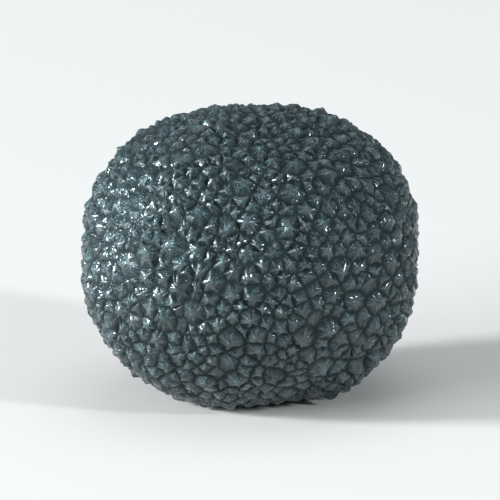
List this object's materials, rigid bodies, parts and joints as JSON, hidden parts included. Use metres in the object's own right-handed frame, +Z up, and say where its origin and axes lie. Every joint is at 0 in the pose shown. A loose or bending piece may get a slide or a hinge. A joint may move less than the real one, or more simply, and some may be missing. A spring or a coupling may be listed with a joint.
{
  "type": "black truffle",
  "caption": "Whole black summer truffle: a slightly flattened ball covered in small pyramid-shaped warts, resting on a small flat spot.",
  "frame": {"origin": "middle of the footprint, on the surface that the truffle rests on", "axes": "+Z up, +X to the right and -Y towards the viewer when the truffle is seen from its front; the width is along X"},
  "size_m": [0.0286, 0.027, 0.0245],
  "materials": {
    "truffle_skin": "near-black warty fungus skin with a cool cast, moist satin"
  },
  "bodies": {
    "root": {"truffle": "truffle_skin"}
  },
  "joints": []
}
